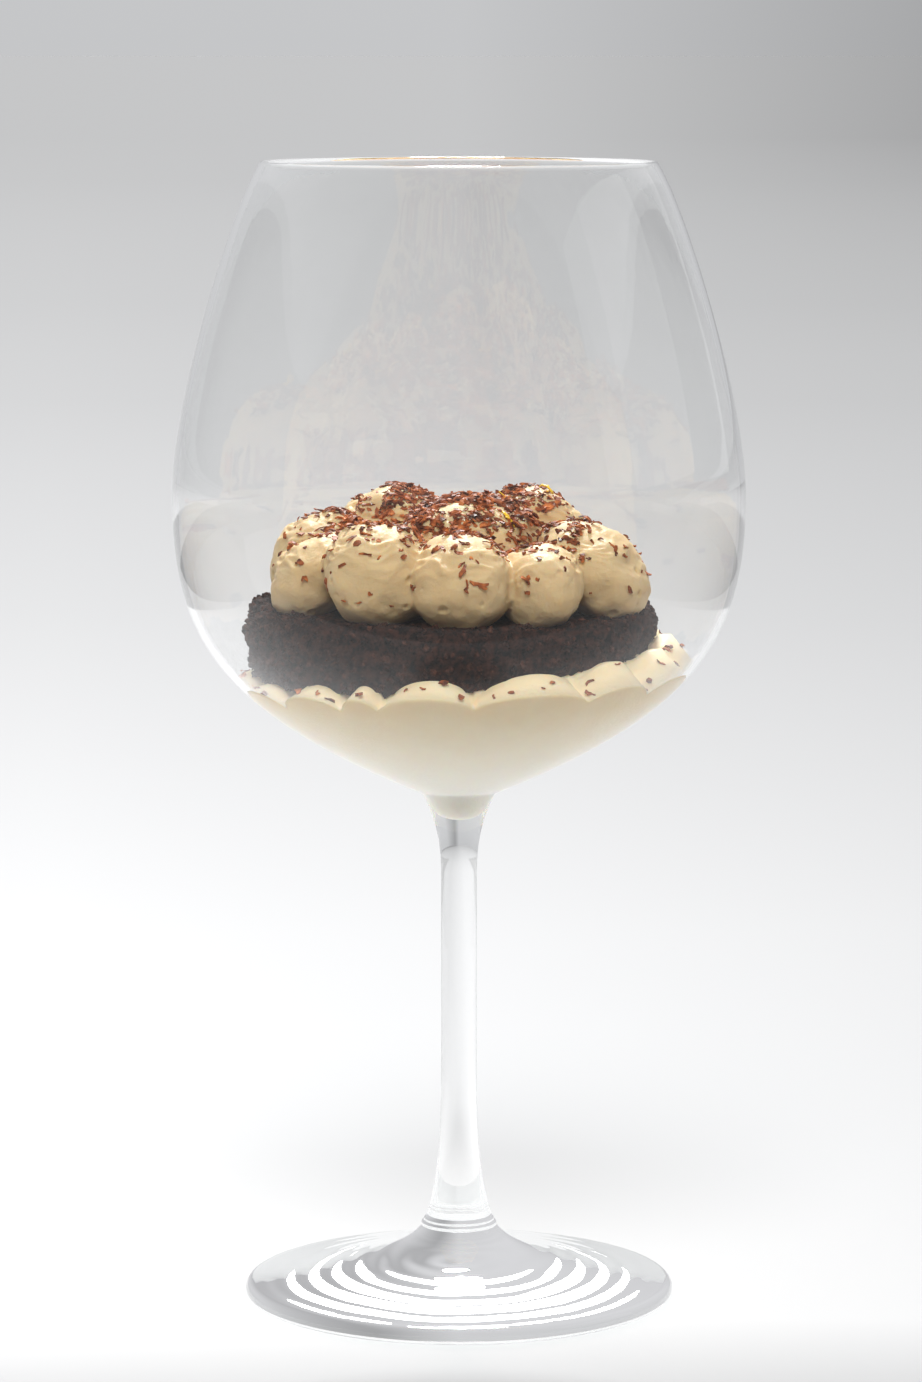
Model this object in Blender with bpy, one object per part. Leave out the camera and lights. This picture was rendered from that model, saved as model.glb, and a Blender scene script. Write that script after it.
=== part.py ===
"""Layered mousse dessert in a large stemmed wine glass, in metres, +Z up.

The glass stands on the ground plane with its axis on Z, and its front looks along -Y.
Inside lie, from the bottom up, a filling of pale mousse that was spooned in dollops
round the wall, a disc of dark chocolate sponge, and a crown of mousse dollops strewn
with chocolate shavings and a few strands of citrus zest.
"""

import math
import random

import bmesh
import bpy
from mathutils import Matrix, Vector, noise
from mathutils.bvhtree import BVHTree

MM = 0.001

# Wine glass, outer form
GLASS_HEIGHT = 222 * MM
RIM_RADIUS = 38.1 * MM
BELLY_RADIUS = 55.4 * MM
BELLY_HEIGHT = 157.5 * MM
BOWL_BASE_RADIUS = 7.0 * MM
BOWL_BASE_HEIGHT = 99.6 * MM
STEM_RADIUS = 3.5 * MM
STEM_TOP = 84 * MM
STEM_FOOT = 44 * MM
COLLAR_RADIUS = 6.5 * MM
COLLAR_HEIGHT = 15.6 * MM
FOOT_RADIUS = 42 * MM
FOOT_EDGE = 3.4 * MM
FOOT_REST_INNER = 29 * MM
FOOT_HOLLOW = 0.3 * MM
GLASS_SEGMENTS = 40

# Wine glass, wall, which thickens below a height down to the bowl's floor
WALL = 1.1 * MM
FLOOR_WALL = 2.6 * MM
THICKER_BELOW = 118 * MM

# Rounded tip of the bowl's inside, which reaches down into the neck
TIP_RADIUS = 4.4 * MM
TIP_HEIGHT = 95.3 * MM
TIP_SHOULDER = (3.4 * MM, 100.9 * MM)

# Gap that every piece keeps to the next one
GAP = 0.32 * MM

# Lower mousse, which slopes up to the right and to the back
BASE_SLOPE = (0.085, 0.02)
BASE_WALL_HEIGHT = 118 * MM
BASE_MIDDLE_HEIGHT = 128 * MM
BASE_MIDDLE_RADIUS = 36.5 * MM
BASE_RING_RADIUS = 39.8 * MM
BASE_DOLLOP_MIDDLE = 117.6 * MM
BASE_DOLLOP_HALF_HEIGHT = 9.8 * MM
BASE_DOLLOP_HALF_DEPTH = 4.5 * MM
BASE_DOLLOP_OVERLAP = 1.07
FRONT_CREASES = (-53.0, -32.0, -21.0, 3.6, 33.5, 55.0)
FRONT_LIFTS = (0.0, 0.4 * MM, 0.9 * MM, 0.2 * MM, -0.4 * MM)
EVEN_DOLLOPS = 11

# Sponge disc: thick at the left and the front, thin at the right and the back
SPONGE_RADIUS = 39.0 * MM
SPONGE_MIDDLE = (-1.3 * MM, 0.9 * MM)
SPONGE_SWELL = 1.2 * MM
SPONGE_TOP = 136.4 * MM
SPONGE_TOP_SLOPE = (-0.01, 0.02)
SPONGE_BOTTOM = 126.3 * MM
SPONGE_BOTTOM_SLOPE = (0.07, 0.05)
SPONGE_CRAG = 1.1 * MM
SPONGE_SEGMENTS = 44

# Crown of mousse: place in plan, half width, half depth, height over the sponge
# and how far the top leans, all in millimetres
CROWN = {
    "front": (0.3, -26.4, 9.9, 10.2, 16.4, 0.0, 1.5),
    "front_left": (-14.9, -22.6, 10.4, 10.6, 18.2, -0.6, 1.5),
    "left_front": (-26.6, -10.0, 9.2, 10.4, 14.8, 3.0, 0.5),
    "left_back": (-27.4, 8.0, 9.0, 10.0, 16.8, 2.0, -0.5),
    "back_left": (-13.5, 21.0, 10.8, 11.0, 20.6, 1.0, -1.0),
    "back": (1.0, 26.0, 9.6, 10.4, 17.0, 0.0, -1.5),
    "back_right": (14.4, 21.8, 10.6, 10.8, 20.4, -1.0, -1.0),
    "right_back": (26.2, 8.8, 9.6, 10.2, 14.2, -2.0, -0.5),
    "right_front": (26.0, -9.6, 9.8, 11.2, 17.2, -3.5, 1.0),
    "front_right": (15.4, -22.4, 7.9, 9.6, 14.4, 0.0, 1.0),
    "middle": (2.0, 0.0, 14.0, 14.2, 21.0, 0.0, 0.0),
    "heart": (0.0, 0.0, 27.0, 26.0, 12.5, 0.0, 0.0),
}
DOLLOP_SINK = 1.7 * MM
DOLLOP_SQUARENESS = 2.12
DOLLOP_FLARE = 0.07
DOLLOP_RIPPLE = 0.45 * MM
RIPPLE_SIZE = 6 * MM

# Shavings and zest
CROWN_SHAVINGS = 36
CROWN_ZEST = ((-4.6, 5.0), (17.6, 18.0), (9.2, 3.0), (9.8, -8.0))
BASE_SHAVINGS = 7
SHAVING_LENGTH = (2.0, 4.2)
SHAVING_WIDTH = (0.8, 1.5)
SHAVING_THICK = 0.42 * MM
SHORT_FLAKE = 3.0 * MM
ZEST_LENGTH = 4.6
ZEST_WIDTH = 0.7
SHAVING_SINK = 0.12 * MM


for leftover in list(bpy.data.objects):
    bpy.data.objects.remove(leftover, do_unlink=True)


def finish(name, colour, roughness, transmission=0.0, subsurface=0.0):
    """A plain finish for one of the dessert's materials."""
    material = bpy.data.materials.new(name)
    material.use_nodes = True
    shader = material.node_tree.nodes["Principled BSDF"]
    shader.inputs["Base Color"].default_value = (*colour, 1.0)
    shader.inputs["Roughness"].default_value = roughness
    shader.inputs["Metallic"].default_value = 0.0
    shader.inputs["Transmission Weight"].default_value = transmission
    shader.inputs["Subsurface Weight"].default_value = subsurface
    return material


CRYSTAL = finish("clear_crystal", (1.0, 1.0, 1.0), 0.02, transmission=1.0)
CREAM = finish("vanilla_cream", (0.80, 0.70, 0.46), 0.45, subsurface=0.2)
SPONGE = finish("cocoa_sponge", (0.045, 0.020, 0.012), 0.90)


def place(name, mesh, material):
    """Puts a finished mesh in the scene as one named object."""
    mesh.materials.append(material)
    piece = bpy.data.objects.new(name, mesh)
    bpy.context.scene.collection.objects.link(piece)
    return piece


def mesh_of(name, form):
    """Turns a bmesh into a mesh, facing out."""
    bmesh.ops.recalc_face_normals(form, faces=form.faces)
    mesh = bpy.data.meshes.new(name)
    form.to_mesh(mesh)
    form.free()
    return mesh


def apply_modifiers(piece):
    """Bakes a piece's modifiers into its own mesh."""
    graph = bpy.context.evaluated_depsgraph_get()
    graph.update()
    mesh = bpy.data.meshes.new_from_object(piece.evaluated_get(graph))
    piece.modifiers.clear()
    piece.data = mesh
    return piece


def boolean(piece, operation, other):
    """Cuts, trims or joins a piece with one other object, which is then removed."""
    step = piece.modifiers.new(operation.lower(), "BOOLEAN")
    step.operation = operation
    step.object = other
    apply_modifiers(piece)
    bpy.data.objects.remove(other, do_unlink=True)
    return piece


def unite(piece, others):
    """Fuses loose shapes onto a piece in one Boolean, and removes them."""
    group = bpy.data.collections.new("to_fuse")
    bpy.context.scene.collection.children.link(group)
    for shape in others:
        bpy.context.scene.collection.objects.unlink(shape)
        group.objects.link(shape)
    step = piece.modifiers.new("fuse", "BOOLEAN")
    step.operation = "UNION"
    step.operand_type = "COLLECTION"
    step.collection = group
    apply_modifiers(piece)
    for shape in others:
        bpy.data.objects.remove(shape, do_unlink=True)
    bpy.data.collections.remove(group)
    return piece


def drop_scraps(piece):
    """Keeps a piece's largest body and drops crumbs that a cut left loose beside it."""
    form = bmesh.new()
    form.from_mesh(piece.data)
    unseen = set(form.verts)
    bodies = []
    while unseen:
        front = [unseen.pop()]
        body = set(front)
        while front:
            for edge in front.pop().link_edges:
                for vertex in edge.verts:
                    if vertex in unseen:
                        unseen.remove(vertex)
                        body.add(vertex)
                        front.append(vertex)
        bodies.append(body)
    main = max(bodies, key=len)
    loose = [vertex for vertex in form.verts if vertex not in main]
    bmesh.ops.delete(form, geom=loose, context="VERTS")
    form.to_mesh(piece.data)
    form.free()
    return piece


def curve_points(start, pull_start, pull_end, end, steps):
    """Points along a cubic curve in the (radius, height) plane, without the start."""
    points = []
    for step in range(1, steps + 1):
        t = step / steps
        s = 1 - t
        points.append(tuple(
            s**3 * a + 3 * s * s * t * b + 3 * s * t * t * c + t**3 * d
            for a, b, c, d in zip(start, pull_start, pull_end, end)
        ))
    return points


def arc_points(centre, radius, start, end, steps):
    """Points round an arc in the (radius, height) plane, angles in degrees."""
    points = []
    for step in range(steps + 1):
        angle = math.radians(start + (end - start) * step / steps)
        points.append((
            centre[0] + radius * math.cos(angle),
            centre[1] + radius * math.sin(angle),
        ))
    return points


def bowl_face():
    """The bowl's outer face, from the top of the neck over the belly to the rim."""
    rise = math.radians(22.8)
    spread = 43.8 * MM
    rim_pull = 8 * MM
    rim_lean = 0.65
    base = (BOWL_BASE_RADIUS, BOWL_BASE_HEIGHT)
    belly = (BELLY_RADIUS, BELLY_HEIGHT)
    rim = (RIM_RADIUS, GLASS_HEIGHT - WALL / 4)
    lower = curve_points(
        base,
        (base[0] + spread * math.cos(rise), base[1] + spread * math.sin(rise)),
        (BELLY_RADIUS, BELLY_HEIGHT - 26.3 * MM),
        belly,
        9,
    )
    upper = curve_points(
        belly,
        (BELLY_RADIUS, BELLY_HEIGHT + 18.3 * MM),
        (rim[0] + rim_lean * rim_pull, rim[1] - rim_pull),
        rim,
        6,
    )
    return [base] + lower + upper


def bowl_inside(more=0.0):
    """The bowl's inner face, one wall inside the outer one and, if asked, a bit more."""
    face = bowl_face()
    inside = []
    for index, (radius, height) in enumerate(face):
        before = face[max(index - 1, 0)]
        after = face[min(index + 1, len(face) - 1)]
        along = Vector((after[0] - before[0], after[1] - before[1])).normalized()
        low = max(THICKER_BELOW - height, 0) / (THICKER_BELOW - BOWL_BASE_HEIGHT)
        wall = WALL + (FLOOR_WALL - WALL) * low**2 + more
        inside.append((radius - along.y * wall, height + along.x * wall))
    tip = (0.0, TIP_HEIGHT + more)
    floor = curve_points(
        tip,
        (TIP_RADIUS - more, tip[1]),
        (TIP_SHOULDER[0] - more, TIP_SHOULDER[1] + more),
        inside[0],
        3,
    )
    return [tip] + floor + inside[1:]


def glass_outline():
    """The whole section of the glass, from the bowl's floor over the rim to the foot."""
    inside = bowl_inside()
    outside = bowl_face()
    lip_middle = (
        (inside[-1][0] + outside[-1][0]) / 2,
        (inside[-1][1] + outside[-1][1]) / 2,
    )
    lean = math.degrees(math.atan2(outside[-1][1] - lip_middle[1], outside[-1][0] - lip_middle[0]))
    lip = arc_points(lip_middle, WALL / 2, lean + 180, lean, 4)
    neck = curve_points(
        (BOWL_BASE_RADIUS, BOWL_BASE_HEIGHT),
        (BOWL_BASE_RADIUS - 2.2 * MM, BOWL_BASE_HEIGHT - 5 * MM),
        (STEM_RADIUS, STEM_TOP + 7 * MM),
        (STEM_RADIUS, STEM_TOP),
        4,
    )
    collar = (COLLAR_RADIUS, COLLAR_HEIGHT)
    ankle = curve_points(
        (STEM_RADIUS, STEM_FOOT),
        (STEM_RADIUS, STEM_FOOT - 17 * MM),
        (COLLAR_RADIUS - 1.6 * MM, COLLAR_HEIGHT + 5 * MM),
        collar,
        3,
    )
    half_edge = FOOT_EDGE / 2
    edge = arc_points((FOOT_RADIUS - half_edge, half_edge), half_edge, 90, -90, 4)
    flare = curve_points(
        collar,
        (COLLAR_RADIUS + 4 * MM, COLLAR_HEIGHT - 6.5 * MM),
        (COLLAR_RADIUS + 14 * MM, FOOT_EDGE + 2.6 * MM),
        edge[0],
        5,
    )
    return (
        inside + lip[1:-1] + outside[::-1]
        + neck + [(STEM_RADIUS, STEM_FOOT)] + ankle
        + flare[:-1] + edge
        + [(FOOT_REST_INNER, 0.0), (0.0, FOOT_HOLLOW)]
    )


def turned(name, outline, material):
    """A closed body turned from an outline of (radius, height) points."""
    form = bmesh.new()
    points = [form.verts.new((radius, 0.0, height)) for radius, height in outline]
    for first, second in zip(points, points[1:]):
        form.edges.new((first, second))
    mesh = bpy.data.meshes.new(name)
    form.to_mesh(mesh)
    form.free()
    piece = place(name, mesh, material)
    turn = piece.modifiers.new("turn", "SCREW")
    turn.steps = GLASS_SEGMENTS
    turn.render_steps = GLASS_SEGMENTS
    turn.use_merge_vertices = True
    turn.merge_threshold = 0.01 * MM
    return piece


def shade_round(piece, angle=40):
    """Smooth shading with sharp edges kept."""
    piece.data.shade_smooth()
    piece.data.set_sharp_from_angle(angle=math.radians(angle))


def ripple(point, seed):
    """Soft uneven swelling of spooned mousse at a point."""
    moved = Vector(point) / RIPPLE_SIZE + Vector((seed * 3.7, seed * 1.3, 0.0))
    return DOLLOP_RIPPLE * noise.noise(moved)


def squared(value):
    """Pushes a unit sphere's coordinate outwards, so that shoulders grow fuller."""
    return math.copysign(abs(value) ** (2 / DOLLOP_SQUARENESS), value)


def dollop(name, centre, halves, lean, turn, seed, fineness):
    """A rounded heap of mousse, fuller than an egg and leaning at its top."""
    form = bmesh.new()
    bmesh.ops.create_icosphere(form, subdivisions=fineness, radius=1.0)
    spin = Matrix.Rotation(turn, 3, "Z")
    for vertex in form.verts:
        way = vertex.co.normalized()
        full = Vector(squared(value) for value in way)
        flare = 1 + DOLLOP_FLARE * full.z
        shape = Vector((full.x * halves[0] * flare, full.y * halves[1] * flare, full.z * halves[2]))
        shape += Vector((lean[0], lean[1], 0.0)) * full.z
        shape = spin @ shape + Vector(centre)
        vertex.co = shape + way * ripple(shape, seed)
    return place(name, mesh_of(name, form), CREAM)


def sponge_faces(x, y, grow):
    """Heights of the sponge's lower and upper face at a place, sloped and uneven."""
    low_rough = noise.noise(Vector((x, y, SPONGE_BOTTOM)) / (7 * MM)) * 0.4 * MM
    high_rough = noise.noise(Vector((x, y, SPONGE_TOP)) / (7 * MM)) * 0.5 * MM
    low = SPONGE_BOTTOM + SPONGE_BOTTOM_SLOPE[0] * x + SPONGE_BOTTOM_SLOPE[1] * y
    high = SPONGE_TOP + SPONGE_TOP_SLOPE[0] * x + SPONGE_TOP_SLOPE[1] * y
    return low + low_rough - grow, high + high_rough + grow


def sponge_body(name, grow):
    """The sponge disc, crumbled at its edge. With grow it is the room it takes up."""
    form = bmesh.new()
    side_levels = 5
    rings = []
    for share in (0.35, 0.72, 0.95):
        rings.append((share, 0.0))
    for level in range(side_levels):
        rings.append((1.0, level / (side_levels - 1)))
    for share in (0.95, 0.72, 0.35):
        rings.append((share, 1.0))
    loops = []
    for index, (share, rise) in enumerate(rings):
        loop = []
        for step in range(SPONGE_SEGMENTS):
            angle = math.tau * step / SPONGE_SEGMENTS
            way = Vector((math.cos(angle), math.sin(angle), 0.0))
            crag = noise.noise(way * 6 + Vector((0, 0, 2.1 * rise)))
            swell = (math.sin(math.pi * rise) - 0.7) * SPONGE_SWELL
            radius = SPONGE_RADIUS + SPONGE_CRAG * crag + swell
            spot = way * (radius * share + grow * (share == 1.0))
            spot += Vector((*SPONGE_MIDDLE, 0.0))
            low, high = sponge_faces(spot.x, spot.y, grow)
            spot.z = low + (high - low) * rise
            loop.append(form.verts.new(spot))
        loops.append(loop)
    for height, loop in zip(sponge_faces(*SPONGE_MIDDLE, grow), (loops[0], loops[-1])):
        tip = form.verts.new((*SPONGE_MIDDLE, height))
        for step in range(SPONGE_SEGMENTS):
            form.faces.new((tip, loop[step], loop[(step + 1) % SPONGE_SEGMENTS]))
    for below, above in zip(loops, loops[1:]):
        for step in range(SPONGE_SEGMENTS):
            after = (step + 1) % SPONGE_SEGMENTS
            form.faces.new((below[step], below[after], above[after], above[step]))
    return place(name, mesh_of(name, form), SPONGE)


def strip(name, spot, normal, heading, length, width, curl, material):
    """A thin curled strip lying on a surface, such as a shaving or a strand of zest."""
    across = normal.cross(heading).normalized()
    along = across.cross(normal).normalized()
    sections = 2 if length < SHORT_FLAKE else 3
    form = bmesh.new()
    loops = []
    for section in range(sections):
        share = section / (sections - 1) - 0.5
        middle = spot + along * (share * length) + normal * (curl * (2 * share) ** 2 * length)
        taper = 1.0 - 0.5 * abs(2 * share)
        loop = []
        for side, up in ((-1, 0), (1, 0), (1, 1), (-1, 1)):
            corner = middle + across * (side * width * taper / 2)
            loop.append(form.verts.new(corner + normal * (SHAVING_THICK * up)))
        loops.append(loop)
    for below, above in zip(loops, loops[1:]):
        for side in range(4):
            after = (side + 1) % 4
            form.faces.new((below[side], below[after], above[after], above[side]))
    form.faces.new(loops[0])
    form.faces.new(loops[-1][::-1])
    return place(name, mesh_of(name, form), material)


def surface_of(piece):
    """A search tree over a piece's faces, for finding points on it."""
    form = bmesh.new()
    form.from_mesh(piece.data)
    tree = BVHTree.FromBMesh(form)
    form.free()
    return tree


def strew(name, tree, spots, draw, length, width):
    """Shavings dropped from above onto a surface, one at each (x, y) spot."""
    fallen = []
    for index, (x, y) in enumerate(spots):
        spot, normal, _, _ = tree.ray_cast(Vector((x, y, GLASS_HEIGHT)), Vector((0, 0, -1)))
        if spot is None or normal.z < 0.3:
            continue
        heading = draw.uniform(0, math.tau)
        tilt = Vector((draw.uniform(-0.3, 0.3), draw.uniform(-0.3, 0.3), 0.0))
        fallen.append(strip(
            f"{name}_{index}",
            spot - normal * SHAVING_SINK,
            (normal + tilt).normalized(),
            Vector((math.cos(heading), math.sin(heading), 0.1)),
            draw.uniform(*length) * MM,
            draw.uniform(*width) * MM,
            draw.uniform(-0.05, 0.12),
            CREAM,
        ))
    return fallen


def crown_spots(draw):
    """Where shavings fall on the crown: thick in its middle, thinner towards its edge."""
    spots = []
    apart = 3.0 * MM
    while len(spots) < CROWN_SHAVINGS:
        reach = 33 * MM * draw.random() ** 0.8
        angle = draw.uniform(0, math.tau)
        spot = (reach * math.cos(angle), reach * math.sin(angle))
        if all(math.dist(spot, other) > apart for other in spots):
            spots.append(spot)
    return spots


def base_creases():
    """Angles of the creases between the lower dollops, in degrees from the front."""
    first = FRONT_CREASES[-1]
    last = FRONT_CREASES[0] + 360
    step = (last - first) / EVEN_DOLLOPS
    return list(FRONT_CREASES) + [first + step * count for count in range(1, EVEN_DOLLOPS + 1)]


def from_front(degrees, radius):
    """A point at an angle from the front, counted towards the right."""
    angle = math.radians(degrees)
    return radius * math.sin(angle), -radius * math.cos(angle)


def base_rise(x, y):
    """How much higher the lower mousse lies at a place than at the glass's axis."""
    return BASE_SLOPE[0] * x + BASE_SLOPE[1] * y


def base_dollops():
    """The dollops of lower mousse side by side round the wall."""
    heaps = []
    creases = base_creases()
    lifts = FRONT_LIFTS + (0.0,) * EVEN_DOLLOPS
    for index, (start, end) in enumerate(zip(creases, creases[1:])):
        x, y = from_front((start + end) / 2, BASE_RING_RADIUS)
        half = math.radians(end - start) / 2 * (BASE_RING_RADIUS + 4 * MM) * BASE_DOLLOP_OVERLAP
        heaps.append(dollop(
            f"base_dollop_{index}",
            (x, y, BASE_DOLLOP_MIDDLE + base_rise(x, y) + lifts[index]),
            (half, BASE_DOLLOP_HALF_DEPTH, BASE_DOLLOP_HALF_HEIGHT),
            (0.0, 0.0),
            math.radians((start + end) / 2),
            index,
            2,
        ))
    return heaps


def base_core():
    """The body of the lower mousse, highest in the middle and sloped to the right."""
    floor = TIP_HEIGHT - 1 * MM
    outline = [
        (0.0, BASE_MIDDLE_HEIGHT),
        (BASE_MIDDLE_RADIUS - 6 * MM, BASE_MIDDLE_HEIGHT),
        (BASE_MIDDLE_RADIUS, BASE_MIDDLE_HEIGHT - 2 * MM),
        (BASE_RING_RADIUS, BASE_WALL_HEIGHT + 3 * MM),
        (BELLY_RADIUS, BASE_WALL_HEIGHT - 8 * MM),
        (BELLY_RADIUS, floor),
        (0.0, floor),
    ]
    core = apply_modifiers(turned("mousse_base", outline, CREAM))
    for vertex in core.data.vertices:
        if vertex.co.z > floor + 1 * MM:
            vertex.co.z += base_rise(vertex.co.x, vertex.co.y)
    return core


def cavity():
    """The room inside the bowl, short of the wall by the gap, up past the lower mousse."""
    ceiling = BELLY_HEIGHT - 5 * MM
    kept = [point for point in bowl_inside(GAP) if point[1] < ceiling]
    return turned("cavity", [(0.0, ceiling), (kept[-1][0], ceiling)] + kept[::-1], CREAM)


def lower_mousse():
    draw = random.Random(11)
    base = base_core()
    heaps = base_dollops()
    unite(base, heaps)
    tree = surface_of(base)
    spots = []
    for count in range(BASE_SHAVINGS):
        angle = 360 * (count + draw.uniform(0.1, 0.6)) / BASE_SHAVINGS - 60
        spots.append(from_front(angle, draw.uniform(40.6, 41.8) * MM))
    unite(base, strew("base_shaving", tree, spots, draw, (1.6, 2.4), (0.7, 1.0)))
    boolean(base, "INTERSECT", cavity())
    boolean(base, "DIFFERENCE", sponge_body("sponge_room", GAP))
    shade_round(drop_scraps(base))


def crown():
    draw = random.Random(5)
    heaps = []
    for index, (name, sizes) in enumerate(CROWN.items()):
        x, y, half_x, half_y, height, lean_x, lean_y = [size * MM for size in sizes]
        ground = sponge_faces(x, y, 0.0)[1]
        half_z = (height + DOLLOP_SINK) / 2
        heaps.append(dollop(
            f"crown_{name}",
            (x, y, ground - DOLLOP_SINK + half_z),
            (half_x, half_y, half_z),
            (lean_x, lean_y),
            0.0,
            index + 20,
            3,
        ))
    top = heaps.pop()
    top.name = "mousse_top"
    unite(top, heaps)
    tree = surface_of(top)
    toppings = strew("shaving", tree, crown_spots(draw), draw, SHAVING_LENGTH, SHAVING_WIDTH)
    zest_spots = [(x * MM, y * MM) for x, y in CROWN_ZEST]
    toppings += strew("zest", tree, zest_spots, draw, (ZEST_LENGTH, ZEST_LENGTH), (ZEST_WIDTH, ZEST_WIDTH))
    unite(top, toppings)
    boolean(top, "DIFFERENCE", sponge_body("sponge_room", GAP))
    shade_round(drop_scraps(top))


glass = turned("wine_glass", glass_outline(), CRYSTAL)
shade_round(apply_modifiers(glass))
lower_mousse()
shade_round(sponge_body("chocolate_sponge", 0.0))
crown()
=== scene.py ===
"""Layered mousse dessert in a large stemmed wine glass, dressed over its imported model.

All sizes are in metres unless a name says millimetres. The front looks along -Y.
"""

import math
import random

import bmesh
import bpy
import numpy as np
from mathutils import Matrix, Vector, kdtree, noise
from mathutils.bvhtree import BVHTree


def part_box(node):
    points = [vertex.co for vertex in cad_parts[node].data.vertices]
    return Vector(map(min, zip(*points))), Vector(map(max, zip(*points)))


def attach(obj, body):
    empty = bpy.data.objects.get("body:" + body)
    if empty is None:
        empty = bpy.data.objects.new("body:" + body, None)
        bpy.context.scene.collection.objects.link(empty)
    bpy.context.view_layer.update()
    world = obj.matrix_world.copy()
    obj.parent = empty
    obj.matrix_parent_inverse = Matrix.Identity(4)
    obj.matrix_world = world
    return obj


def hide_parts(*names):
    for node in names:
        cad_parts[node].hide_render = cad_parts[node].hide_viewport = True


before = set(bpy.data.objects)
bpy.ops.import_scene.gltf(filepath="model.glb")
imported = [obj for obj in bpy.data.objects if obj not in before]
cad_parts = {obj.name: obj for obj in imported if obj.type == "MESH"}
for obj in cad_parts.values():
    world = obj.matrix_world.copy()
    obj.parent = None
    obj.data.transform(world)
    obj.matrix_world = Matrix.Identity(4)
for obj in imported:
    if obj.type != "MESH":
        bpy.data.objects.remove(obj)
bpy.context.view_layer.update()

MM = 0.001


# Wine glass
# One blown and drawn piece of clear crystal: a wide thin bowl, a solid neck that flows
# into a slim stem, and a turned foot with a small joint ring where the stem was set on.
GLASS_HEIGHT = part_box("wine_glass")[1].z
BELLY_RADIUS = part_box("wine_glass")[1].x
BELLY_HEIGHT = 157.5 * MM
RIM_RADIUS = 38.1 * MM
BOWL_BASE = (7.0 * MM, 99.6 * MM)
WALL = 1.1 * MM
FLOOR_WALL = 2.6 * MM
THICKER_BELOW = 118 * MM
TIP_RADIUS = 4.4 * MM
TIP_HEIGHT = 95.3 * MM
TIP_SHOULDER = (3.4 * MM, 100.9 * MM)
STEM_RADIUS = 3.5 * MM
STEM_TOP = 84 * MM
STEM_FOOT = 44 * MM
COLLAR = (6.5 * MM, 15.6 * MM)
COLLAR_BEAD = 0.22 * MM
FOOT_RADIUS = 42 * MM
FOOT_EDGE = 3.4 * MM
FOOT_REST_INNER = 29 * MM
FOOT_HOLLOW = 0.3 * MM
GLASS_TURNS = 200
FOOT_RING_WIDTH = 4.8 * MM
FOOT_RING_TOP = 9 * MM
FOOT_RING_REACH = 32 * MM
CRYSTAL_TINT = (0.992, 0.998, 0.996)
LIGHT_PASSING = (0.97, 0.98, 0.98)


def curve_points(start, pull_start, pull_end, end, steps):
    """Points along a cubic curve in the (radius, height) plane, without the start."""
    points = []
    for step in range(1, steps + 1):
        t = step / steps
        s = 1 - t
        points.append(tuple(
            s**3 * a + 3 * s * s * t * b + 3 * s * t * t * c + t**3 * d
            for a, b, c, d in zip(start, pull_start, pull_end, end)
        ))
    return points


def arc_points(centre, radius, start, end, steps):
    """Points round an arc in the (radius, height) plane, angles in degrees."""
    points = []
    for step in range(steps + 1):
        angle = math.radians(start + (end - start) * step / steps)
        points.append((
            centre[0] + radius * math.cos(angle),
            centre[1] + radius * math.sin(angle),
        ))
    return points


def bowl_face():
    """The bowl's outer face, from the top of the neck over the belly to the rim."""
    rise = math.radians(22.8)
    spread = 43.8 * MM
    rim_pull = 8 * MM
    rim_lean = 0.65
    belly = (BELLY_RADIUS, BELLY_HEIGHT)
    rim = (RIM_RADIUS, GLASS_HEIGHT - WALL / 4)
    lower = curve_points(
        BOWL_BASE,
        (BOWL_BASE[0] + spread * math.cos(rise), BOWL_BASE[1] + spread * math.sin(rise)),
        (BELLY_RADIUS, BELLY_HEIGHT - 26.3 * MM),
        belly,
        56,
    )
    upper = curve_points(
        belly,
        (BELLY_RADIUS, BELLY_HEIGHT + 18.3 * MM),
        (rim[0] + rim_lean * rim_pull, rim[1] - rim_pull),
        rim,
        40,
    )
    return [BOWL_BASE] + lower + upper


def bowl_inside(deeper=0.0):
    """The bowl's inner face, one wall inside the outer one. Deeper reaches into the wall."""
    face = bowl_face()
    inside = []
    for index, (radius, height) in enumerate(face):
        before = face[max(index - 1, 0)]
        after = face[min(index + 1, len(face) - 1)]
        along = Vector((after[0] - before[0], after[1] - before[1])).normalized()
        low = max(THICKER_BELOW - height, 0) / (THICKER_BELOW - BOWL_BASE[1])
        wall = WALL + (FLOOR_WALL - WALL) * low**2 - deeper
        inside.append((radius - along.y * wall, height + along.x * wall))
    tip = (0.0, TIP_HEIGHT - deeper)
    floor = curve_points(
        tip,
        (TIP_RADIUS + deeper, tip[1]),
        (TIP_SHOULDER[0] + deeper, TIP_SHOULDER[1] - deeper),
        inside[0],
        16,
    )
    return [tip] + floor + inside[1:]


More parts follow.
